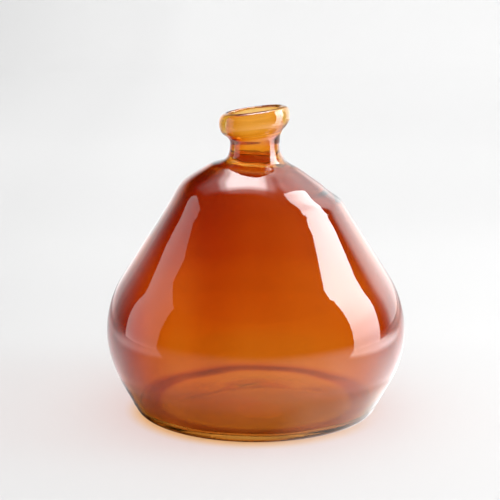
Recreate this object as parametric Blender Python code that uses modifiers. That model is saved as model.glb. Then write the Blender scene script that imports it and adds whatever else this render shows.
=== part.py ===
"""A glass bud vase: one blown bottle with a wide belly, a straight leaning flank, a short neck and a tilted collar.

Run it with: blender --background --python part.py

The whole vase is a single piece of glass, so the model is a single solid. Its outline, wall thickness included, is
turned about the vertical axis with a Screw modifier, and the turned mesh is then leaned the way the glassmaker's
hand leaves it. Metres, +Z up, the origin under the middle of the foot, where the vase stands.
"""

import math

import bmesh
import bpy

MM = 0.001

# Foot: a flat ring that the vase stands on, round a shallow push-up.
RING_INNER = 69.0 * MM
HEEL_ROUND = 8.5 * MM  # the edge between the ring and the wall
PUSH_UP = 8.0 * MM  # how far the underside rises at its middle
FLOOR_THICKNESS = 6.5 * MM
INNER_HEEL_ROUND = 12.0 * MM

# Body: the lower wall leans out, the belly is one arc, and the flank leans straight in to the shoulder.
LOWER_LEAN = math.radians(28.8)  # from the vertical
FLANK_LEAN = math.radians(32.6)
BELLY_RADIUS = 113.4 * MM
BELLY_HEIGHT = 62.5 * MM
BELLY_ROUND = 74.0 * MM  # the belly's arc, seen from the side
WALL = 4.0 * MM

# Shoulder, neck and collar, as points (radius, height) in millimetres that a smooth curve runs through.
# The flank meets the shoulder at its first point. The collar is a thick roll on a short funnel.
SHOULDER = [(62.9, 163.3), (57.3, 169.9), (49.9, 176.2), (41.3, 181.9), (33.1, 187.0)]
NECK = [(26.6, 189.8), (22.8, 192.0), (20.4, 195.2), (19.2, 198.8), (18.8, 202.5), (18.8, 205.5)]
COLLAR = [
    (19.4, 209.0), (21.2, 212.0), (24.0, 214.6), (26.0, 217.8), (26.6, 221.5), (26.2, 225.3), (24.4, 228.3),
    (21.4, 229.5),
]
CUP = [(19.9, 228.4), (20.2, 224.5), (21.2, 220.5), (20.9, 216.5), (19.3, 212.5), (17.3, 208.5), (15.8, 205.0)]
BORE = [(15.5, 201.5), (15.5, 197.5), (15.7, 194.0), (16.9, 191.2), (19.6, 189.3), (24.5, 187.5)]
COLLAR_BOTTOM = 205.5 * MM

# What the hand does to the turned shape. Both tilts are a rise for each metre across.
COLLAR_TILT = 0.135  # higher on the +X side
SHOULDER_TILT = 0.072  # higher on the -X side
NECK_SHIFT = -0.7 * MM  # along X
COLLAR_LEAN = -0.02  # along X, for each metre up from the collar's bottom

SEGMENTS = 48  # round the axis
ARC_STEP = math.radians(12.5)  # the most an arc turns between two points
AMBER = (0.62, 0.13, 0.01, 1.0)

BELLY = (BELLY_RADIUS - BELLY_ROUND, BELLY_HEIGHT)  # the centre of the belly's arc


def step_off(point, distance, angle):
    """The point at this distance. Angle 0 goes out along +r and a quarter turn goes up."""
    return point[0] + distance * math.cos(angle), point[1] + distance * math.sin(angle)


def arc(centre, radius, start, end):
    steps = math.ceil(abs(end - start) / ARC_STEP)
    return [step_off(centre, radius, start + (end - start) * i / steps) for i in range(steps + 1)]


def between(a, b, steps):
    """The points that part the straight line from a to b into equal steps, without its ends."""
    return [(a[0] + (b[0] - a[0]) * i / steps, a[1] + (b[1] - a[1]) * i / steps) for i in range(1, steps)]


def smooth_through(points):
    """The points with one more in the middle of each span, on a Catmull-Rom curve."""
    made = [points[0]]
    ends = [points[0], *points, points[-1]]
    for a, b, c, d in zip(ends, ends[1:], ends[2:], ends[3:]):
        made.append(tuple((9 * (q + r) - p - s) / 16 for p, q, r, s in zip(a, b, c, d)))
        made.append(c)
    return made


def in_metres(points):
    return [(r * MM, z * MM) for r, z in points]


def inset(points, depth):
    """The points moved into the glass, square to the line through their neighbours. The glass is on the axis side."""
    padded = [points[0], *points, points[-1]]
    moved = []
    for before, point, after in zip(padded, points, padded[2:]):
        along = math.atan2(after[1] - before[1], after[0] - before[0])
        moved.append(step_off(point, depth, along + math.pi / 2))
    return moved


def heel_centre(depth, bottom, fillet):
    """The centre of the fillet between a level floor and the lower wall, taken this deep in the glass."""
    on_wall = step_off(BELLY, BELLY_ROUND - depth, -LOWER_LEAN)
    height = bottom + fillet
    across = (height - on_wall[1]) * math.sin(LOWER_LEAN) - fillet
    return on_wall[0] + across / math.cos(LOWER_LEAN), height


def dome(edge, height):
    """The push-up, from just inside its edge to the axis."""
    steps = 6
    radii = [edge * (1 - i / steps) for i in range(1, steps + 1)]
    return [(r, height + PUSH_UP * (1 + math.cos(math.pi * r / edge)) / 2) for r in radii]


def outside():
    """From the rim down the collar, neck and body, and under the foot to the axis."""
    top = in_metres([*SHOULDER, *NECK, *COLLAR])
    belly = [*arc(BELLY, BELLY_ROUND, FLANK_LEAN, 0.0), *arc(BELLY, BELLY_ROUND, 0.0, -LOWER_LEAN)[1:]]
    heel = arc(heel_centre(0.0, 0.0, HEEL_ROUND), HEEL_ROUND, -LOWER_LEAN, -math.pi / 2)
    return [
        *reversed(smooth_through(top)),
        *between(top[0], belly[0], 4),
        *belly,
        *between(belly[-1], heel[0], 2),
        *heel,
        (RING_INNER, 0.0),
        *dome(RING_INNER, 0.0),
    ]


def inside():
    """From the axis across the floor, and up the body, bore and cup to just below the rim."""
    corner = heel_centre(WALL, FLOOR_THICKNESS, INNER_HEEL_ROUND)
    heel = arc(corner, INNER_HEEL_ROUND, -math.pi / 2, -LOWER_LEAN)
    belly = arc(BELLY, BELLY_ROUND - WALL, -LOWER_LEAN, FLANK_LEAN)
    top = [*inset(in_metres(SHOULDER), WALL), *reversed(in_metres([*CUP, *BORE]))]
    return [
        *reversed(dome(corner[0], FLOOR_THICKNESS)),
        *heel,
        *between(heel[-1], belly[0], 2),
        *belly,
        *between(belly[-1], top[0], 4),
        *smooth_through(top),
    ]


def ramp(value, low, high):
    """0 below low, 1 above high, and smooth between."""
    t = min(1.0, max(0.0, (value - low) / (high - low)))
    return t * t * (3 - 2 * t)


def by_hand(x, y, z):
    """Where a point of the turned shape goes on the blown one."""
    at_shoulder = ramp(z, 160 * MM, 174 * MM) * (1 - ramp(z, 186 * MM, 196 * MM))
    at_collar = ramp(z, COLLAR_BOTTOM - 4 * MM, COLLAR_BOTTOM + 9 * MM)
    rise = COLLAR_TILT * at_collar - SHOULDER_TILT * at_shoulder
    shift = NECK_SHIFT * ramp(z, 184 * MM, 200 * MM) + COLLAR_LEAN * max(0.0, z - COLLAR_BOTTOM)
    return x + shift, y, z + x * rise


def glass():
    material = bpy.data.materials.new("Amber glass")
    material.use_nodes = True
    shader = material.node_tree.nodes["Principled BSDF"]
    shader.inputs["Base Color"].default_value = AMBER
    shader.inputs["Roughness"].default_value = 0.02
    shader.inputs["Metallic"].default_value = 0.0
    shader.inputs["IOR"].default_value = 1.5
    shader.inputs["Transmission Weight"].default_value = 1.0
    return material


def turn(name, outline, collection):
    """The outline, in the XZ plane, turned a full circle about Z."""
    line = bpy.data.meshes.new(name + "_outline")
    edges = [(i, i + 1) for i in range(len(outline) - 1)]
    line.from_pydata([(r, 0.0, z) for r, z in outline], edges, [])
    turned = bpy.data.objects.new(name, line)
    collection.objects.link(turned)
    screw = turned.modifiers.new("Turn", "SCREW")
    screw.axis = "Z"
    screw.angle = 2 * math.pi
    screw.steps = SEGMENTS
    screw.render_steps = SEGMENTS
    screw.use_merge_vertices = True
    screw.merge_threshold = 0.00001
    bpy.context.view_layer.update()
    graph = bpy.context.evaluated_depsgraph_get()
    turned.data = bpy.data.meshes.new_from_object(turned.evaluated_get(graph))
    turned.modifiers.clear()
    bpy.data.meshes.remove(line)
    return turned


def lean(mesh):
    body = bmesh.new()
    body.from_mesh(mesh)
    for vertex in body.verts:
        vertex.co = by_hand(*vertex.co)
    body.to_mesh(mesh)
    body.free()


def main():
    for left_over in list(bpy.data.objects):
        bpy.data.objects.remove(left_over)
    vase = bpy.data.collections.new("Glass bud vase")
    bpy.context.scene.collection.children.link(vase)

    vessel = turn("glass_vessel", [*inside(), *outside()], vase)
    lean(vessel.data)
    vessel.data.shade_smooth()
    vessel.data.set_sharp_from_angle(angle=math.radians(40))
    vessel.data.materials.append(glass())


main()
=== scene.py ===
"""The looks of the glass bud vase: amber glass in a bright studio, with a softbox on each side and one above.

The vase is one piece of glass, turned about Z from the same outline as the CAD solid, only finer and with the
unevenness of hand-finished glass. Metres, +Z up, the origin under the middle of the foot.
"""

import math
import random

import bmesh
import bpy
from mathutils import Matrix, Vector


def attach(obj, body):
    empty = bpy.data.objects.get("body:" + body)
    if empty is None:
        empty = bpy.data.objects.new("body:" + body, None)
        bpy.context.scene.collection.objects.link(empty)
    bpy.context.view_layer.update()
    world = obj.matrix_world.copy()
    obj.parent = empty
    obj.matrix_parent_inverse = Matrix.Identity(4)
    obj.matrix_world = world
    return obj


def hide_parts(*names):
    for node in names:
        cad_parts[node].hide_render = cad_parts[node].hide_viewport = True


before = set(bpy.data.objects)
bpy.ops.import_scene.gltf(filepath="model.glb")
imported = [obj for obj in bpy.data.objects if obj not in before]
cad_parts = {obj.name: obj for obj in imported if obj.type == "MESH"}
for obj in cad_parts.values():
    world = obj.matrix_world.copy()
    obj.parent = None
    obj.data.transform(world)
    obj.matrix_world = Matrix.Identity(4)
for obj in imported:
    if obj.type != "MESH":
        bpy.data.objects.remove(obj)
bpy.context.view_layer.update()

MM = 0.001

# The CAD solid's sizes, except that the floor's inner corner is tighter here.
RING_INNER = 69.0 * MM
HEEL_ROUND = 8.5 * MM
PUSH_UP = 8.0 * MM
FLOOR_THICKNESS = 6.5 * MM
INNER_HEEL_ROUND = 6.0 * MM
LOWER_LEAN = math.radians(28.8)
FLANK_LEAN = math.radians(32.6)
BELLY_RADIUS = 113.4 * MM
BELLY_HEIGHT = 62.5 * MM
BELLY_ROUND = 74.0 * MM
WALL = 4.0 * MM
COLLAR_BOTTOM = 205.5 * MM
RIM_HEIGHT = 229.5 * MM
COLLAR_TILT = 0.135
SHOULDER_TILT = 0.072
NECK_SHIFT = -0.7 * MM
COLLAR_LEAN = -0.02

# Shoulder, neck, collar and bore, as points (radius, height) in millimetres on a smooth curve.
SHOULDER = [(62.9, 163.3), (57.3, 169.9), (49.9, 176.2), (41.3, 181.9), (33.1, 187.0)]
NECK = [(26.6, 189.8), (22.8, 192.0), (20.4, 195.2), (19.2, 198.8), (18.8, 202.5), (18.8, 205.5)]
COLLAR = [
    (19.4, 209.0), (21.2, 212.0), (24.0, 214.6), (26.0, 217.8), (26.6, 221.5), (26.2, 225.3), (24.4, 228.3),
    (21.4, RIM_HEIGHT / MM),
]
CUP = [
    (19.9, 228.4), (20.2, 224.5), (21.2, 220.5), (20.9, 216.5), (19.3, 212.5), (17.3, 208.5), (15.8, 205.0),
]
BORE = [(15.5, 201.5), (15.5, 197.5), (15.7, 194.0), (16.9, 191.2), (19.6, 189.3), (24.5, 187.5)]

SEGMENTS = 240
TICK_SEGMENTS = 4 * SEGMENTS  # round the heel, where the ticks are
ARC_STEP = math.radians(3.0)
CURVE_STEPS = 6  # between two points of a smooth curve
SPAN = 2.5 * MM  # the longest straight between two points of the outline
FLANK_JOINT = 0.12  # where the shoulder's curve starts, as a share of the flank down from its top
DOME_STEPS = 40  # from the push-up's edge to the axis
ON_AXIS = 1e-6  # a radius under this is a point on the axis
BELLY = (BELLY_RADIUS - BELLY_ROUND, BELLY_HEIGHT)

# Where the hand's tilts and shift set in and end, as (low, high) in metres up.
SHOULDER_TILT_STARTS = (160 * MM, 174 * MM)
SHOULDER_TILT_ENDS = (186 * MM, 196 * MM)
COLLAR_TILT_STARTS = (COLLAR_BOTTOM - 4 * MM, COLLAR_BOTTOM + 9 * MM)
NECK_SHIFT_STARTS = (184 * MM, 200 * MM)

# The unevenness of the blown wall, and where it sets in, calms down and ends.
OUTER_WAVE = 0.16 * MM
INNER_WAVE = 0.30 * MM
EDGE_WAVE = 0.7 * MM  # up and down, of the floor's edge and the shoulder's inside
OUTER_WAVE_STARTS = (0.0, 20 * MM)
INNER_WAVE_STARTS = (10 * MM, 22 * MM)
NECK_CALM = (175 * MM, 195 * MM)
OUTER_CALM = 0.6  # how much of the waves the neck loses
INNER_CALM = 0.7
OUTER_WAVE_ENDS = (RIM_HEIGHT - 6 * MM, RIM_HEIGHT)
INNER_WAVE_ENDS = (RIM_HEIGHT - 8 * MM, RIM_HEIGHT - 2 * MM)
FLOOR_MIDDLE = (0.0, 10 * MM)  # out from the axis
FLOOR_OUTWARDS = (20 * MM, 60 * MM)  # out from the axis
FLOOR_WAVE_ENDS = (25 * MM, 60 * MM)
BORE_WAVE_STARTS = (170 * MM, 186 * MM)
BORE_WAVE_ENDS = (192 * MM, 204 * MM)

# The ring of fine moulded ticks round the heel.
TICKS = 134
TICK_HEIGHT = 8.0 * MM
TICK_LENGTH = 1.5 * MM  # half of it, up and down
TICK_FLAT = 0.6  # how much of that is at full depth
TICK_DEPTH = 0.30 * MM

# Camera, in front and a little above.
CAMERA_AT = (-0.0043, -1.10, 0.345)
CAMERA_PITCH = math.radians(11.41)
LENS_MM = 106.84
SENSOR_MM = 36.0


# ---------------------------------------------------------------- outline


def step_off(point, distance, angle):
    """The point at this distance. Angle 0 goes out along +r and a quarter turn goes up."""
    return point[0] + distance * math.cos(angle), point[1] + distance * math.sin(angle)


def arc(centre, radius, start, end):
    steps = math.ceil(abs(end - start) / ARC_STEP)
    return [step_off(centre, radius, start + (end - start) * i / steps) for i in range(steps + 1)]


def filled(points):
    """The outline with points added so that no straight is longer than SPAN."""
    made = [points[0]]
    for a, b in zip(points, points[1:]):
        steps = math.ceil(math.dist(a, b) / SPAN)
        made += [(a[0] + (b[0] - a[0]) * i / steps, a[1] + (b[1] - a[1]) * i / steps)
                 for i in range(1, steps + 1)]
    return made


def smooth_through(points):
    """A Catmull-Rom curve through the points."""
    ends = [points[0], *points, points[-1]]
    made = []
    for p0, p1, p2, p3 in zip(ends, ends[1:], ends[2:], ends[3:]):
        for i in range(CURVE_STEPS):
            t = i / CURVE_STEPS
            made.append(tuple(
                0.5 * (2 * b + (c - a) * t + (2 * a - 5 * b + 4 * c - d) * t**2
                       + (3 * b - a - 3 * c + d) * t**3)
                for a, b, c, d in zip(p0, p1, p2, p3)
            ))
    return [*made, points[-1]]


def in_metres(points):
    return [(r * MM, z * MM) for r, z in points]


def inset(points, depth):
    """The points moved into the glass, square to the line through their neighbours."""
    padded = [points[0], *points, points[-1]]
    moved = []
    for before, point, after in zip(padded, points, padded[2:]):
        along = math.atan2(after[1] - before[1], after[0] - before[0])
        moved.append(step_off(point, depth, along + math.pi / 2))
    return moved


def heel_centre(depth, bottom, fillet):
    """The centre of the fillet between a level floor and the lower wall, taken this deep in the glass."""
    on_wall = step_off(BELLY, BELLY_ROUND - depth, -LOWER_LEAN)
    height = bottom + fillet
    across = (height - on_wall[1]) * math.sin(LOWER_LEAN) - fillet
    return on_wall[0] + across / math.cos(LOWER_LEAN), height


def with_flank(points, depth):
    """The shoulder's points, with one before them on the flank, so that the curve starts along it."""
    low = step_off(BELLY, BELLY_ROUND - depth, FLANK_LEAN)
    high = points[0]
    joint = (high[0] + FLANK_JOINT * (low[0] - high[0]), high[1] + FLANK_JOINT * (low[1] - high[1]))
    return [joint, *points]


def dome(edge, height):
    """The push-up, from just inside its edge to the axis."""
    radii = [edge * (1 - i / DOME_STEPS) for i in range(1, DOME_STEPS + 1)]
    return [(r, height + PUSH_UP * (1 + math.cos(math.pi * r / edge)) / 2) for r in radii]


def outside():
    """From the rim down the collar, neck and body, and under the foot to the axis."""
    return filled([
        *reversed(smooth_through(with_flank(in_metres([*SHOULDER, *NECK, *COLLAR]), 0.0))),
        *arc(BELLY, BELLY_ROUND, FLANK_LEAN, 0.0),
        *arc(BELLY, BELLY_ROUND, 0.0, -LOWER_LEAN)[1:],
        *arc(heel_centre(0.0, 0.0, HEEL_ROUND), HEEL_ROUND, -LOWER_LEAN, -math.pi / 2),
        (RING_INNER, 0.0),
        *dome(RING_INNER, 0.0),
    ])


def inside():
    """From the axis across the floor, and up the body, bore and cup to just below the rim."""
    corner = heel_centre(WALL, FLOOR_THICKNESS, INNER_HEEL_ROUND)
    shoulder = inset(in_metres(SHOULDER), WALL)
    mouth = reversed(in_metres([*CUP, *BORE]))
    return filled([
        *reversed(dome(corner[0], FLOOR_THICKNESS)),
        *arc(corner, INNER_HEEL_ROUND, -math.pi / 2, -LOWER_LEAN),
        *arc(BELLY, BELLY_ROUND - WALL, -LOWER_LEAN, FLANK_LEAN),
        *smooth_through(with_flank([*shoulder, *mouth], WALL)),
    ])


# ---------------------------------------------------------------- vessel


def ramp(value, low, high):
    """0 below low, 1 above high, and smooth between."""
    t = min(1.0, max(0.0, (value - low) / (high - low)))
    return t * t * (3 - 2 * t)


def by_hand(x, y, z):
    """Where a point of the turned shape goes on the blown one, as in the CAD solid."""
    at_shoulder = ramp(z, *SHOULDER_TILT_STARTS) * (1 - ramp(z, *SHOULDER_TILT_ENDS))
    at_collar = ramp(z, *COLLAR_TILT_STARTS)
    rise = COLLAR_TILT * at_collar - SHOULDER_TILT * at_shoulder
    shift = NECK_SHIFT * ramp(z, *NECK_SHIFT_STARTS) + COLLAR_LEAN * max(0.0, z - COLLAR_BOTTOM)
    return x + shift, y, z + x * rise


def waves(seed, count, most_turns, shortest):
    """Random waves that stay within -1 to 1 together, each (strength, turns, phase per metre up, start)."""
    chance = random.Random(seed)
    made = []
    for _ in range(count):
        length = shortest * chance.uniform(1.0, 3.0)
        made.append((
            chance.uniform(0.5, 1.0),
            chance.randint(1, most_turns),
            chance.choice((-1, 1)) * 2 * math.pi / length,
            chance.uniform(0.0, 2 * math.pi),
        ))
    whole = sum(strength for strength, *_ in made)
    return [(strength / whole, *rest) for strength, *rest in made]


def sway(made, angle, z):
    """The waves' sum at a place, from -1 to 1."""
    return sum(strength * math.sin(turns * angle + climb * z + start)
               for strength, turns, climb, start in made)


OUTER_WAVES = waves(seed=3, count=9, most_turns=9, shortest=50 * MM)
INNER_WAVES = waves(seed=8, count=9, most_turns=10, shortest=45 * MM)
EDGE_WAVES = waves(seed=5, count=6, most_turns=9, shortest=400 * MM)


def tick(angle, z):
    """How far a moulded tick stands out, from 0 to 1."""
    across = 0.5 + 0.5 * math.cos(TICKS * angle)
    along = 1 - ramp(abs(z - TICK_HEIGHT), TICK_FLAT * TICK_LENGTH, TICK_LENGTH)
    return across**3 * along


def outer_point(r, angle, z):
    body = ramp(z, *OUTER_WAVE_STARTS) * (1 - OUTER_CALM * ramp(z, *NECK_CALM))
    body *= 1 - ramp(z, *OUTER_WAVE_ENDS)
    inward = OUTER_WAVE * body * (1 + sway(OUTER_WAVES, angle, z))
    out = r - inward + TICK_DEPTH * tick(angle, z)
    return by_hand(out * math.cos(angle), out * math.sin(angle), z)


def inner_point(r, angle, z):
    body = ramp(r, *FLOOR_MIDDLE) * ramp(z, *INNER_WAVE_STARTS) * (1 - INNER_CALM * ramp(z, *NECK_CALM))
    body *= 1 - ramp(z, *INNER_WAVE_ENDS)
    out = r + INNER_WAVE * body * sway(INNER_WAVES, angle, z)
    near_floor = ramp(r, *FLOOR_OUTWARDS) * (1 - ramp(z, *FLOOR_WAVE_ENDS))
    near_bore = ramp(z, *BORE_WAVE_STARTS) * (1 - ramp(z, *BORE_WAVE_ENDS))
    lift = EDGE_WAVE * (near_floor + near_bore) * sway(EDGE_WAVES, angle, z)
    return by_hand(out * math.cos(angle), out * math.sin(angle), z + lift)


def ring(made, r, z, place):
    """One turn of points, or a single point on the axis."""
    if r < ON_AXIS:
        return [made.verts.new(place(0.0, 0.0, z))]
    fine = place is outer_point and abs(z - TICK_HEIGHT) < TICK_LENGTH and r > RING_INNER
    count = TICK_SEGMENTS if fine else SEGMENTS
    return [made.verts.new(place(r, 2 * math.pi * i / count, z)) for i in range(count)]


def bridge(made, a, b):
    """Faces between two rings. The finer one's points are a whole number for each of the other's."""
    steps = min(max(len(a), SEGMENTS), max(len(b), SEGMENTS))
    for i in range(steps):
        corners = []
        for points, backwards in ((a, False), (b, True)):
            each = len(points) // steps
            side = [points[(i * each + k) % len(points)] for k in range(each + 1)] if each else [points[0]]
            corners += reversed(side) if backwards else side
        made.faces.new(corners)


def vessel_mesh(name):
    made = bmesh.new()
    rings = [ring(made, r, z, inner_point) for r, z in inside()]
    rings += [ring(made, r, z, outer_point) for r, z in outside()]
    for a, b in zip(rings, rings[1:]):
        bridge(made, a, b)
    bmesh.ops.recalc_face_normals(made, faces=made.faces)
    mesh = bpy.data.meshes.new(name)
    made.to_mesh(mesh)
    made.free()
    mesh.shade_smooth()
    return mesh


def add_object(name, data):
    made = bpy.data.objects.new(name, data)
    bpy.context.scene.collection.objects.link(made)
    return made


def add_piece(name, mesh, material):
    mesh.materials.append(material)
    piece = add_object(name, mesh)
    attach(piece, "root")
    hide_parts("glass_vessel")


# ---------------------------------------------------------------- nodes


def math_node(tree, operation, a, b=None, clamp=False):
    """A Math node. Its inputs are sockets or numbers."""
    node = tree.nodes.new("ShaderNodeMath")
    node.operation = operation
    node.use_clamp = clamp
    for socket, value in zip(node.inputs, (a, b)):
        if isinstance(value, (int, float)):
            socket.default_value = value
        elif value is not None:
            tree.links.new(value, socket)
    return node.outputs[0]


def product(tree, first, *others):
    for other in others:
        first = math_node(tree, "MULTIPLY", first, other)
    return first


def ramp_node(tree, value, span, stops):
    """A Color Ramp through (value, colour) stops, over a span of values. A colour may be one grey number."""
    low, high = span
    along = tree.nodes.new("ShaderNodeMapRange")
    along.inputs["From Min"].default_value = low
    along.inputs["From Max"].default_value = high
    tree.links.new(value, along.inputs["Value"])
    node = tree.nodes.new("ShaderNodeValToRGB")
    node.color_ramp.interpolation = "EASE"
    elements = node.color_ramp.elements
    elements.remove(elements[-1])
    for i, (place, colour) in enumerate(stops):
        position = (place - low) / (high - low)
        element = elements.new(position) if i else elements[0]
        element.position = position
        element.color = (*(colour if isinstance(colour, tuple) else [colour] * 3), 1.0)
    tree.links.new(along.outputs["Result"], node.inputs["Fac"])
    return node.outputs["Color"]


def number_ramp(tree, value, span, stops):
    """A number that follows (value, number) stops. The numbers may be over 1."""
    most = max(number for _, number in stops)
    grey = ramp_node(tree, value, span, [(place, number / most) for place, number in stops])
    return math_node(tree, "MULTIPLY", grey, most)


def own_place(tree):
    """Each point's place in the object's own space, whole and as its X, Y and Z."""
    place = tree.nodes.new("ShaderNodeTexCoord").outputs["Object"]
    split = tree.nodes.new("ShaderNodeSeparateXYZ")
    tree.links.new(place, split.inputs["Vector"])
    return place, split.outputs["X"], split.outputs["Y"], split.outputs["Z"]


def axis_ramp(tree, axis, stops):
    """A number that changes along one axis of the object's own space, through (metres, number) stops."""
    _, *along = own_place(tree)
    return number_ramp(tree, along["XYZ".index(axis)], (stops[0][0], stops[-1][0]), stops)


def distance_node(tree, x, y):
    """How far a point is from the axis."""
    squares = [math_node(tree, "MULTIPLY", value, value) for value in (x, y)]
    return math_node(tree, "SQRT", math_node(tree, "ADD", *squares))


def times(tree, colour, factors):
    """The colour times these three numbers."""
    node = tree.nodes.new("ShaderNodeVectorMath")
    node.operation = "MULTIPLY"
    tree.links.new(colour, node.inputs[0])
    node.inputs[1].default_value = factors
    return node.outputs[0]


def scaled(tree, colour, strength):
    """The colour times one number, from a socket."""
    node = tree.nodes.new("ShaderNodeVectorMath")
    node.operation = "SCALE"
    tree.links.new(colour, node.inputs[0])
    tree.links.new(strength, node.inputs["Scale"])
    return node.outputs[0]


def mix_colour(tree, factor, a, b):
    """Between colours a and b. Each is a socket or three numbers."""
    node = tree.nodes.new("ShaderNodeMix")
    node.data_type = "RGBA"
    tree.links.new(factor, node.inputs["Factor"])
    for socket, colour in ((node.inputs[6], a), (node.inputs[7], b)):
        if isinstance(colour, tuple):
            socket.default_value = (*colour, 1.0)
        else:
            tree.links.new(colour, socket)
    return node.outputs[2]


def show_mix(tree, output, factor, a, b):
    """Show shader a where the factor is 0 and shader b where it is 1."""
    mix = tree.nodes.new("ShaderNodeMixShader")
    tree.links.new(factor, mix.inputs["Fac"])
    tree.links.new(a.outputs[0], mix.inputs[1])
    tree.links.new(b.outputs[0], mix.inputs[2])
    tree.links.new(mix.outputs[0], tree.nodes[output].inputs["Surface"])


def mirror_ray(tree):
    """1 for a ray that left the glass's surface as a reflection, and 0 for one that came through it."""
    path = tree.nodes.new("ShaderNodeLightPath")
    glossy, through = path.outputs["Is Glossy Ray"], path.outputs["Is Transmission Ray"]
    return math_node(tree, "SUBTRACT", glossy, through, True)


def new_material(name):
    material = bpy.data.materials.new(name)
    material.use_nodes = True
    return material, material.node_tree


# ---------------------------------------------------------------- glass

GLASS_IOR = 1.5
UP_VASE = (0.0, RIM_HEIGHT)
ACROSS_VASE = (-BELLY_RADIUS, BELLY_RADIUS)

# The colour through one wall at each height (in mm).
WALL_COLOURS = [
    (0, (0.62, 0.27, 0.06)),
    (5.5, (0.70, 0.34, 0.08)),
    (8.5, (0.88, 0.52, 0.14)),
    (20, (0.85, 0.46, 0.10)),
    (45, (0.835, 0.355, 0.06)),
    (75, (0.79, 0.305, 0.045)),
    (110, (0.745, 0.262, 0.045)),
    (150, (0.675, 0.205, 0.045)),
    (180, (0.665, 0.20, 0.045)),
    (190, (0.84, 0.38, 0.07)),
    (197, (0.94, 0.54, 0.12)),
    (206, (0.95, 0.54, 0.13)),
    (213, (0.987, 0.63, 0.20)),
    (RIM_HEIGHT / MM, (0.987, 0.635, 0.22)),
]
THIN_COLOUR = (1.0, 0.66, 0.25)  # what the colour starts from in the thinnest glass

# How deep the glass is at each place across (in mm along X), as a share of the wall. The -X side has more,
# which is painted shade on the side away from the light.
DEPTH_AND_SHADE_ACROSS = [
    (-113, 1.9), (-85, 0.9), (-60, 0.88), (-35, 1.22), (0, 1.0), (40, 0.82), (85, 0.72), (113, 1.4),
]
# How much deeper the colour gets as the glass turns edge-on, at each height (in mm).
SLANT_DEPTH = [
    (0, 8.0), (12, 10.0), (45, 9.0), (95, 4.5), (190, 4.5), (212, 50.0), (RIM_HEIGHT / MM, 60.0),
]
# Streaks of thicker and thinner glass.
STREAK_SCALE = 12.0
STREAK_LEAST = 0.7  # of the depth
STREAK_RANGE = 0.6

# The floor of the vase, and the flat top of the rim, which is seen edge-on and darkened there with painted
# shade.
FLOOR_COLOUR = (0.65, 0.55, 0.14)
FLOOR_EDGE = 70.0 * MM
FLOOR_EDGE_FADE = 6.0 * MM
FLOOR_TOP = 18.0 * MM
FLOOR_TOP_FADE = 4.0 * MM
# Painted shade: the dark line along the rim's top.
LIP_SHADE_COLOUR = (0.30, 0.10, 0.03)
LIP_HEIGHT = 228.6 * MM

SHADOW_TINT = (0.97, 0.88, 0.865)  # of the light that passes one surface on its way to the paper


def at_mm(stops):
    """Stops placed in millimetres, as stops placed in metres."""
    return [(place * MM, value) for place, value in stops]


def glass_depth_and_shade(tree, place, x, z):
    """How deep the glass is on a ray's way through one wall, with painted shade deepening the -X side. 1 is a
    plain wall met head-on.
    """
    # Painted shade: the colour is deeper on the -X side, away from the light.
    across = number_ramp(tree, x, ACROSS_VASE, at_mm(DEPTH_AND_SHADE_ACROSS))

    streaks = tree.nodes.new("ShaderNodeTexNoise")
    streaks.inputs["Scale"].default_value = STREAK_SCALE
    streaks.inputs["Detail"].default_value = 1.0
    tree.links.new(place, streaks.inputs["Vector"])
    uneven = math_node(tree, "MULTIPLY", streaks.outputs["Fac"], STREAK_RANGE)
    uneven = math_node(tree, "ADD", uneven, STREAK_LEAST)

    slant = tree.nodes.new("ShaderNodeLayerWeight")
    slant.inputs["Blend"].default_value = 0.5
    steep = number_ramp(tree, z, UP_VASE, at_mm(SLANT_DEPTH))
    longer = math_node(tree, "POWER", slant.outputs["Facing"], 2.0)
    longer = math_node(tree, "ADD", math_node(tree, "MULTIPLY", longer, steep), 1.0)
    return product(tree, across, uneven, longer)


def wall_colour(tree, depth, z):
    """The colour through one wall, taken to the power of its depth."""
    tint = ramp_node(tree, z, UP_VASE, at_mm(WALL_COLOURS))
    colour = tree.nodes.new("ShaderNodeGamma")
    tree.links.new(times(tree, tint, [1 / part for part in THIN_COLOUR]), colour.inputs["Color"])
    tree.links.new(depth, colour.inputs["Gamma"])
    return times(tree, colour.outputs["Color"], THIN_COLOUR)


def with_floor(tree, wall, x, y, z):
    """The wall's colour, and the floor's in the floor."""
    inwards = number_ramp(tree, distance_node(tree, x, y), (0.0, BELLY_RADIUS), [
        (0.0, 1.0), (FLOOR_EDGE, 1.0), (FLOOR_EDGE + FLOOR_EDGE_FADE, 0.0)])
    low = number_ramp(tree, z, UP_VASE, [
        (0.0, 1.0), (FLOOR_TOP, 1.0), (FLOOR_TOP + FLOOR_TOP_FADE, 0.0)])
    return mix_colour(tree, math_node(tree, "MULTIPLY", inwards, low), wall, FLOOR_COLOUR)


def with_lip_shade(tree, body, x, z):
    """The body's colour, and the painted shade on the rim's top, square to the tilted collar."""
    upright = math_node(tree, "SUBTRACT", z, math_node(tree, "MULTIPLY", x, COLLAR_TILT))
    above = math_node(tree, "SUBTRACT", upright, LIP_HEIGHT)
    share = math_node(tree, "DIVIDE", above, RIM_HEIGHT - LIP_HEIGHT, True)
    return mix_colour(tree, share, body, LIP_SHADE_COLOUR)


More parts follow.
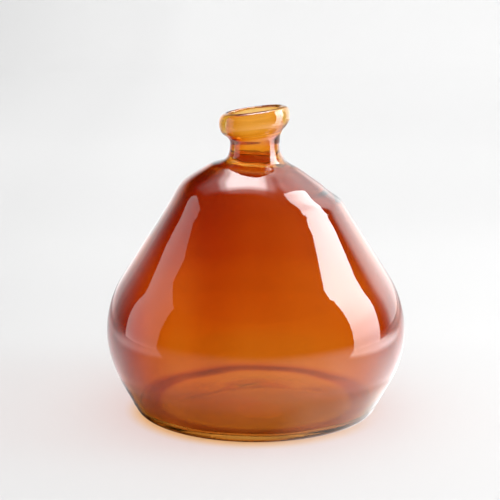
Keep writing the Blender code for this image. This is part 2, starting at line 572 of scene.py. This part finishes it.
def amber_glass():
    material, tree = new_material("Amber glass")
    shader = tree.nodes["Principled BSDF"]
    shader.inputs["Roughness"].default_value = 0.0
    shader.inputs["IOR"].default_value = GLASS_IOR
    shader.inputs["Transmission Weight"].default_value = 1.0

    place, x, y, z = own_place(tree)
    wall = wall_colour(tree, glass_depth_and_shade(tree, place, x, z), z)
    body = with_floor(tree, wall, x, y, z)
    tree.links.new(with_lip_shade(tree, body, x, z), shader.inputs["Base Color"])

    # Light on its way to the paper goes straight through, and is tinted.
    path = tree.nodes.new("ShaderNodeLightPath")
    to_paper = math_node(tree, "MAXIMUM", path.outputs["Is Shadow Ray"], path.outputs["Is Diffuse Ray"])
    clear = tree.nodes.new("ShaderNodeBsdfTransparent")
    clear.inputs["Color"].default_value = (*SHADOW_TINT, 1.0)
    show_mix(tree, "Material Output", to_paper, shader, clear)
    return material


# ---------------------------------------------------------------- camera and light

KEY_LIGHT_AT = (0.9, -0.05, 0.45)
KEY_LIGHT_AIM = (0.0, 0.0, 0.10)
KEY_LIGHT_SIZE = 0.5  # each way
KEY_LIGHT_RADIANCE = 5.5
PALE_ROOM = 1.5
DARK_ROOM = 0.02
DARK_FROM = -0.5  # a direction's Y, from which the room seen through the glass is all dark


def make_camera():
    data = bpy.data.cameras.new("Camera")
    data.lens = LENS_MM
    data.sensor_width = SENSOR_MM
    camera = add_object("Camera", data)
    camera.location = CAMERA_AT
    camera.rotation_euler = (math.pi / 2 - CAMERA_PITCH, 0.0, 0.0)
    bpy.context.scene.camera = camera


def key_light():
    """The light that falls on the paper. It doesn't show in the glass."""
    data = bpy.data.lights.new("Key light", "AREA")
    data.shape = "RECTANGLE"
    data.size = KEY_LIGHT_SIZE
    data.size_y = KEY_LIGHT_SIZE
    data.energy = KEY_LIGHT_RADIANCE * math.pi * KEY_LIGHT_SIZE**2
    light = add_object("Key light", data)
    light.location = KEY_LIGHT_AT
    light.rotation_mode = "QUATERNION"
    light.rotation_quaternion = (Vector(KEY_LIGHT_AIM) - Vector(KEY_LIGHT_AT)).to_track_quat("-Z", "Y")
    light.visible_camera = False
    light.visible_glossy = False
    light.visible_transmission = False


def make_world():
    """A pale room. It is dark to reflections, and towards the camera's side as seen through the glass."""
    world = bpy.data.worlds.new("Studio")
    world.use_nodes = True
    tree = world.node_tree
    pale = tree.nodes["Background"]
    pale.inputs["Color"].default_value = (1.0, 1.0, 1.0, 1.0)
    pale.inputs["Strength"].default_value = PALE_ROOM
    dark = tree.nodes.new("ShaderNodeBackground")
    dark.inputs["Color"].default_value = (DARK_ROOM, DARK_ROOM, DARK_ROOM, 1.0)
    path = tree.nodes.new("ShaderNodeLightPath")
    place = tree.nodes.new("ShaderNodeTexCoord")
    split = tree.nodes.new("ShaderNodeSeparateXYZ")
    tree.links.new(place.outputs["Generated"], split.inputs["Vector"])
    forward = math_node(tree, "DIVIDE", split.outputs["Y"], DARK_FROM, True)
    through = math_node(tree, "MULTIPLY", path.outputs["Is Transmission Ray"], forward)
    show_mix(tree, "World Output", math_node(tree, "MAXIMUM", through, mirror_ray(tree)), pale, dark)
    bpy.context.scene.world = world


# ---------------------------------------------------------------- paper

FOOT_GAP = 0.1 * MM  # of air, between the foot and the paper
BOWL_RADIUS = 3.2  # where the floor starts to curve up
BOWL_CURVE = 1.2
BOWL_TOP = 3.0
BACKDROP_ENDS = (math.radians(10), math.radians(170))  # azimuths of the part behind the vase
BEND_STEPS = 24
BOWL_STEPS = 64  # round each part
SAME_POINT = 1e-5

# Painted light on the paper, paler to the back and towards +X: along Y and along X, in metres.
PAPER_LIGHT_BACK = [(0.1, 0.62), (0.25, 0.645), (0.7, 0.69), (1.6, 0.755), (3.4, 0.81)]
PAPER_LIGHT_ACROSS = [(-1.1, 0.80), (-0.35, 0.95), (-0.15, 1.0), (1.1, 1.05)]
# Under the vase its share of light along Y, brightest at the back.
UNDER_VASE = [(-0.088, 0.15), (-0.076, 0.40), (-0.062, 0.78), (-0.03, 0.83), (0.0, 0.93), (0.05, 1.45)]
FOOT_INSIDE = 0.083  # metres from the axis, where the share under the vase ends
FOOT_OUTSIDE = 0.087
# Just outside the foot the paper is painted amber, a painted caustic of the light through the glass, most of
# it at the front left.
AMBER_CAUSTIC = (1.0, 0.74, 0.34)
CAUSTIC_END = 0.102
CAUSTIC_AROUND = [(-180, 0.2), (-110, 0.6), (-70, 1.0), (-10, 1.0), (40, 0.5), (75, 0.1), (180, 0.2)]

# How bright the paper is to a reflection, by the direction from the vase: (degrees from the camera's side, +X
# side positive, strength). The first is for the floor near the vase and the second for the backdrop.
FLOOR_AROUND = [
    (-180, 0.9), (-150, 1.1), (-105, 1.3), (-77, 0.85), (-60, 0.6), (-35, 0.75), (0, 0.95), (36, 1.6),
    (55, 2.4), (85, 3.0), (110, 2.5), (135, 1.8), (150, 1.2), (165, 0.9), (180, 0.9),
]
BACKDROP_AROUND = [
    (-180, 1.0), (-160, 1.6), (-145, 1.1), (-135, 0.55), (-127, 0.28), (-119, 0.12), (-110, 0.0), (110, 0.0),
    (125, 0.8), (160, 1.2), (180, 1.0),
]
BACKDROP_OUT = [(0.6, 0.0), (0.9, 1.0)]  # where the backdrop takes over, in metres from the axis
BACKDROP_UP = [(0.8, 1.0), (2.2, 0.0)]
# How much of that is left in the vase's own shade: at the foot by direction, how that share fades in metres
# outwards, and the share that grows outwards on every side. The larger one counts.
FOOT_AROUND = [(-180, 0.3), (-100, 0.3), (-60, 0.0), (0, 0.0), (30, 0.6), (90, 0.65), (150, 0.7), (180, 0.3)]
FOOT_OUT = [(0.4, 1.0), (0.98, 0.0)]
SHADE_OUT = [
    (0.095, 0.0), (0.107, 0.2), (0.12, 0.55), (0.14, 0.95), (0.17, 1.0), (0.42, 0.8), (0.6, 0.5), (0.98, 0.2),
]
FLOOR_BRIGHT = 0.6  # metres out, where the floor starts to darken
FLOOR_END = 2.4  # where it is as dark as the room

NEAR = (0.0, 1.0)  # metres from the axis
ALL_ROUND = (-180.0, 180.0)


def paper_colour_and_light(tree, distance, turn):
    """Painted light: paler to the back and towards +X, painted shade under the vase, and a painted amber
    caustic round the foot.
    """
    # Painted light: the paper gets paler to the back and towards +X.
    pale = product(tree, axis_ramp(tree, "Y", PAPER_LIGHT_BACK), axis_ramp(tree, "X", PAPER_LIGHT_ACROSS))
    clear = number_ramp(tree, distance, NEAR, [(0.0, 0.0), (FOOT_INSIDE, 0.0), (FOOT_OUTSIDE, 1.0)])
    shade = tree.nodes.new("ShaderNodeMix")
    tree.links.new(clear, shade.inputs["Factor"])
    tree.links.new(axis_ramp(tree, "Y", UNDER_VASE), shade.inputs[2])
    shade.inputs[3].default_value = 1.0
    # Painted caustic: amber light on the paper round the foot.
    outwards = number_ramp(tree, distance, NEAR, [(0.0, 1.0), (FOOT_OUTSIDE, 1.0), (CAUSTIC_END, 0.0)])
    glow = math_node(tree, "MULTIPLY", outwards, number_ramp(tree, turn, ALL_ROUND, CAUSTIC_AROUND))
    tint = mix_colour(tree, glow, (1.0, 1.0, 1.0), AMBER_CAUSTIC)
    return scaled(tree, tint, math_node(tree, "MULTIPLY", pale, shade.outputs[0]))


def paper_reflection(tree, distance, turn):
    """How bright the paper is to a reflection in the glass."""
    at_foot = math_node(tree, "MULTIPLY", number_ramp(tree, turn, ALL_ROUND, FOOT_AROUND),
                        number_ramp(tree, distance, NEAR, FOOT_OUT))
    lit = math_node(tree, "MAXIMUM", number_ramp(tree, distance, NEAR, SHADE_OUT), at_foot)
    darker = number_ramp(tree, distance, (0.0, FLOOR_END), [(FLOOR_BRIGHT, 1.0), (FLOOR_END, 0.0)])
    floor = product(tree, lit, darker, number_ramp(tree, turn, ALL_ROUND, FLOOR_AROUND))
    far = number_ramp(tree, distance, NEAR, BACKDROP_OUT)
    backdrop = product(tree, far, axis_ramp(tree, "Z", BACKDROP_UP),
                       number_ramp(tree, turn, ALL_ROUND, BACKDROP_AROUND))
    return math_node(tree, "ADD", floor, backdrop)


def paper_material():
    """Pale paper. Reflections find it bright near the vase and behind it, and the rest of the room dark."""
    material, tree = new_material("Studio paper")
    shader = tree.nodes["Principled BSDF"]
    shader.inputs["Roughness"].default_value = 0.9
    shader.inputs["Specular IOR Level"].default_value = 0.1

    _, x, y, _ = own_place(tree)
    distance = distance_node(tree, x, y)
    angle = math_node(tree, "ARCTAN2", x, math_node(tree, "MULTIPLY", y, -1.0))
    turn = math_node(tree, "DEGREES", angle)
    tree.links.new(paper_colour_and_light(tree, distance, turn), shader.inputs["Base Color"])

    mirrored = tree.nodes.new("ShaderNodeEmission")
    tree.links.new(paper_reflection(tree, distance, turn), mirrored.inputs["Strength"])
    show_mix(tree, "Material Output", mirror_ray(tree), shader, mirrored)
    return material


def make_bowl(name, start, end, material):
    """The paper floor and its curved-up edge, between two azimuths."""
    bends = [math.pi / 2 * i / BEND_STEPS for i in range(BEND_STEPS + 1)]
    profile = [(0.0, 0.0)]
    profile += [(BOWL_RADIUS + BOWL_CURVE * math.sin(a), BOWL_CURVE * (1 - math.cos(a))) for a in bends]
    profile.append((BOWL_RADIUS + BOWL_CURVE, BOWL_TOP))
    angles = [start + (end - start) * i / BOWL_STEPS for i in range(BOWL_STEPS + 1)]
    made = bmesh.new()
    rings = [[made.verts.new((r * math.cos(a), r * math.sin(a), z - FOOT_GAP)) for a in angles]
             for r, z in profile]
    for low, high in zip(rings, rings[1:]):
        for i in range(BOWL_STEPS):
            made.faces.new([low[i], low[i + 1], high[i + 1], high[i]])
    bmesh.ops.remove_doubles(made, verts=made.verts, dist=SAME_POINT)
    mesh = bpy.data.meshes.new(name)
    made.to_mesh(mesh)
    made.free()
    mesh.shade_smooth()
    mesh.materials.append(material)
    add_object(name, mesh)


# ---------------------------------------------------------------- glow panels

# The side softboxes, as (y, z) corners. Their tops lean back.
SIDE = 0.62  # how far they stand from the vase
LEFT_SOFTBOX = [
    (-0.195, 0.0), (-0.21, 0.25), (-0.21, 0.47), (-0.13, 0.513), (-0.06, 0.50), (-0.08, 0.555), (0.04, 0.555),
    (0.13, 0.59), (0.20, 0.61), (0.25, 0.54), (0.25, 0.467), (0.245, 0.41), (0.18, 0.362), (0.197, 0.29),
    (0.195, 0.0),
]
RIGHT_SOFTBOX = [
    (-0.205, 0.0), (-0.195, 0.25), (-0.185, 0.54), (-0.25, 0.62), (-0.15, 0.64), (-0.17, 0.70), (-0.14, 0.81),
    (0.09, 1.09), (0.16, 1.19), (0.28, 1.45), (0.52, 1.1), (0.64, 0.90), (0.27, 0.62), (0.176, 0.49),
    (0.21, 0.455), (0.137, 0.395), (0.157, 0.34), (0.12, 0.17), (0.10, 0.0),
]
# How each panel glows along an axis: (metres, strength).
LEFT_GLOW = [(-0.21, 1.2), (0.0, 1.55), (0.22, 2.1), (0.48, 1.6)]
RIGHT_GLOW = [(0.0, 5.0), (0.15, 8.5), (0.30, 12.5), (0.55, 16.0), (0.70, 14.0), (0.95, 10.0), (1.6, 8.0)]

# White cards on the floor, between the vase and the softboxes.
CARD_HEIGHT = 0.002
CARD_NEAR = 0.28  # from the vase's axis
CARD_NEAR_FRONT = -0.16
CARD_FRONT = -0.205
CARD_BACK = 0.3
CARD_GLOW = [(CARD_FRONT, 1.0), (0.05, 1.0), (CARD_BACK, 0.0)]
CARDS = [
    ("Left card", -1, [(-SIDE, 1.1), (-0.38, 1.0), (-CARD_NEAR, 0.0)]),
    ("Right card", 1, [(CARD_NEAR, 0.0), (0.38, 4.0), (SIDE, 4.5)]),
]

BACK_WALL_ENDS = [(1.28, 0.62), (0.35, 1.55)]
BACK_WALL_TOP = 2.8
BACK_WALL_GLOWS = [
    ("X", [(0.35, 0.0), (0.55, 0.6), (0.85, 0.9), (1.10, 1.0), (1.28, 0.0)]),
    ("Z", [(0.0, 1.8), (0.5, 2.1), (1.3, 2.8), (2.2, 2.4), (BACK_WALL_TOP, 0.0)]),
]

OVERHEAD_HEIGHT = 1.25
OVERHEAD_LEFT, OVERHEAD_RIGHT = -1.2, 0.6
OVERHEAD_FRONT, OVERHEAD_BACK = -0.05, 1.1
OVERHEAD_GLOWS = [
    ("X", [(OVERHEAD_LEFT, 0.0), (-0.9, 0.03), (-0.5, 0.07), (-0.38, 0.35), (-0.28, 0.9), (-0.2, 1.0),
           (0.1, 1.0), (0.2, 0.8), (0.3, 0.22), (0.45, 0.03), (OVERHEAD_RIGHT, 0.0)]),
    ("Y", [(OVERHEAD_FRONT, 0.0), (0.10, 2.0), (0.18, 8.0), (0.26, 14.0), (0.7, 13.0), (0.9, 5.0),
           (OVERHEAD_BACK, 0.0)]),
]


def glow_panel(name, corners, glows):
    """A flat sheet that shows only as a reflection in the glass. Its strength is the product of its glows,
    each an axis and (metres, strength) stops along it."""
    material, tree = new_material(name)
    tree.nodes.remove(tree.nodes["Principled BSDF"])
    emission = tree.nodes.new("ShaderNodeEmission")
    strength = product(tree, *(axis_ramp(tree, axis, stops) for axis, stops in glows))
    tree.links.new(strength, emission.inputs["Strength"])
    clear = tree.nodes.new("ShaderNodeBsdfTransparent")
    both = tree.nodes.new("ShaderNodeAddShader")
    tree.links.new(emission.outputs[0], both.inputs[0])
    tree.links.new(clear.outputs[0], both.inputs[1])
    tree.links.new(both.outputs[0], tree.nodes["Material Output"].inputs["Surface"])

    mesh = bpy.data.meshes.new(name)
    mesh.from_pydata(corners, [], [list(range(len(corners)))])
    mesh.materials.append(material)
    panel = add_object(name, mesh)
    panel.visible_camera = False
    panel.visible_diffuse = False
    panel.visible_transmission = False
    panel.visible_shadow = False


def floor_cards():
    for name, side, glow in CARDS:
        near = side * CARD_NEAR
        far = side * SIDE
        corners = [(far, CARD_FRONT), (near, CARD_NEAR_FRONT), (near, CARD_BACK), (far, CARD_BACK)]
        glow_panel(name, [(x, y, CARD_HEIGHT) for x, y in corners], [("X", glow), ("Y", CARD_GLOW)])


def back_wall():
    near, far = BACK_WALL_ENDS
    corners = [(*near, 0.0), (*far, 0.0), (*far, BACK_WALL_TOP), (*near, BACK_WALL_TOP)]
    glow_panel("Back right wall", corners, BACK_WALL_GLOWS)


def overhead_softbox():
    corners = [(OVERHEAD_LEFT, OVERHEAD_FRONT), (OVERHEAD_RIGHT, OVERHEAD_FRONT),
               (OVERHEAD_RIGHT, OVERHEAD_BACK), (OVERHEAD_LEFT, OVERHEAD_BACK)]
    glow_panel("Overhead softbox", [(x, y, OVERHEAD_HEIGHT) for x, y in corners], OVERHEAD_GLOWS)


def make_studio():
    paper = paper_material()
    start, end = BACKDROP_ENDS
    make_bowl("backdrop", start, end, paper)
    make_bowl("front_floor", end, start + 2 * math.pi, paper)
    key_light()
    glow_panel("Left softbox", [(-SIDE, y, z) for y, z in LEFT_SOFTBOX], [("Y", LEFT_GLOW)])
    glow_panel("Right softbox", [(SIDE, y, z) for y, z in RIGHT_SOFTBOX], [("Z", RIGHT_GLOW)])
    floor_cards()
    back_wall()
    overhead_softbox()
    make_world()


def set_look():
    """Enough bounces for a ray to pass both walls and come back."""
    scene = bpy.context.scene
    scene.view_settings.view_transform = "Standard"
    scene.cycles.max_bounces = 32
    scene.cycles.glossy_bounces = 24
    scene.cycles.transmission_bounces = 32
    scene.cycles.diffuse_bounces = 4


make_camera()
add_piece("vase_glass", vessel_mesh("vase_glass"), amber_glass())
make_studio()
set_look()
